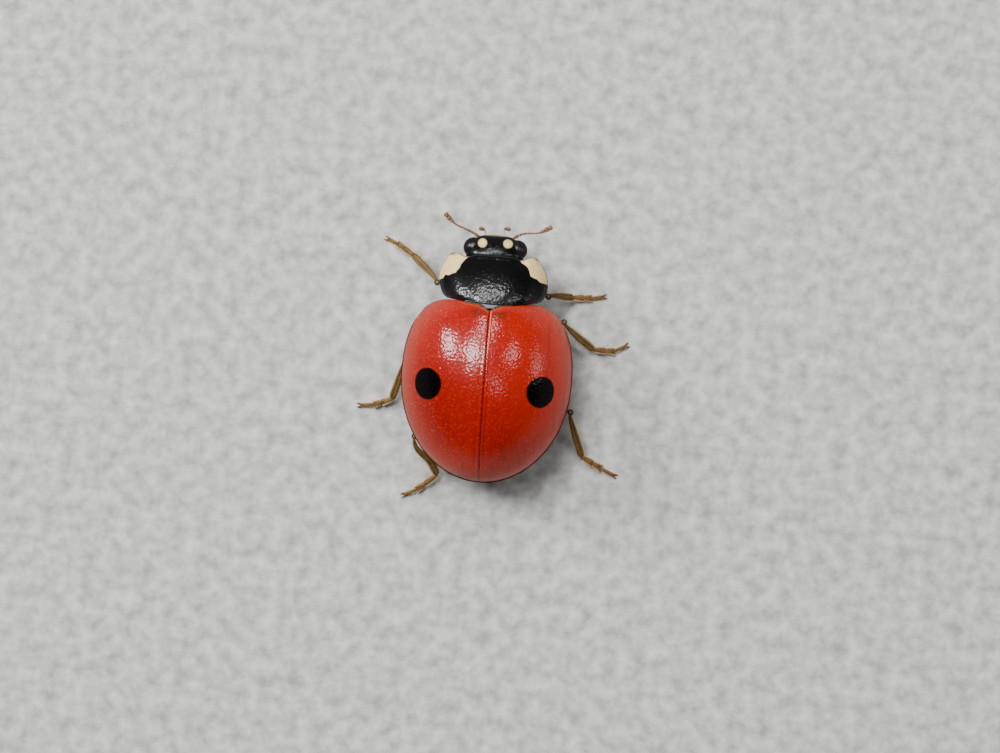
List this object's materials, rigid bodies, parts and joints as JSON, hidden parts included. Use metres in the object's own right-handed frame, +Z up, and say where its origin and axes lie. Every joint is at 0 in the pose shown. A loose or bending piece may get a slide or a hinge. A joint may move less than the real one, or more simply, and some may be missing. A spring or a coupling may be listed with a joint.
{
  "type": "ladybird",
  "caption": "Life-size still ladybird, red domed wing cases with round black spots, black shield with pale corners, standing on its feet.",
  "frame": {"origin": "centre of the standing animal's box, on the floor under its feet", "axes": "+Z up, -Y towards the head, +X towards the animal's left"},
  "size_m": [0.0072, 0.0076, 0.0032],
  "materials": {
    "wing_case": "glossy red orange shell with fine pits and a round black spot",
    "shell": "glossy black shell, finely pitted, with cream marks",
    "eye": "glossy black with fine facets",
    "belly": "satin black shell with short fine hair",
    "feeler": "satin orange brown shell",
    "leg": "satin olive brown shell with fine pale hair"
  },
  "bodies": {
    "root": {"abdomen": "belly", "antenna_left": "feeler", "antenna_right": "feeler", "coxa_front_left": "leg", "coxa_front_right": "leg", "coxa_middle_left": "leg", "coxa_middle_right": "leg", "coxa_rear_left": "leg", "coxa_rear_right": "leg", "elytron_left": "wing_case", "elytron_right": "wing_case", "eye_left": "eye", "eye_right": "eye", "femur_front_left": "leg", "femur_front_right": "leg", "femur_middle_left": "leg", "femur_middle_right": "leg", "femur_rear_left": "leg", "femur_rear_right": "leg", "head": "shell", "labrum": "feeler", "mandible_left": "feeler", "mandible_right": "feeler", "palp_left": "feeler", "palp_right": "feeler", "pronotum": "shell", "prothorax": "belly", "scutellum": "shell", "tarsus_front_left": "leg", "tarsus_front_right": "leg", "tarsus_middle_left": "leg", "tarsus_middle_right": "leg", "tarsus_rear_left": "leg", "tarsus_rear_right": "leg", "thorax": "belly", "tibia_front_left": "leg", "tibia_front_right": "leg", "tibia_middle_left": "leg", "tibia_middle_right": "leg", "tibia_rear_left": "leg", "tibia_rear_right": "leg"}
  },
  "joints": []
}
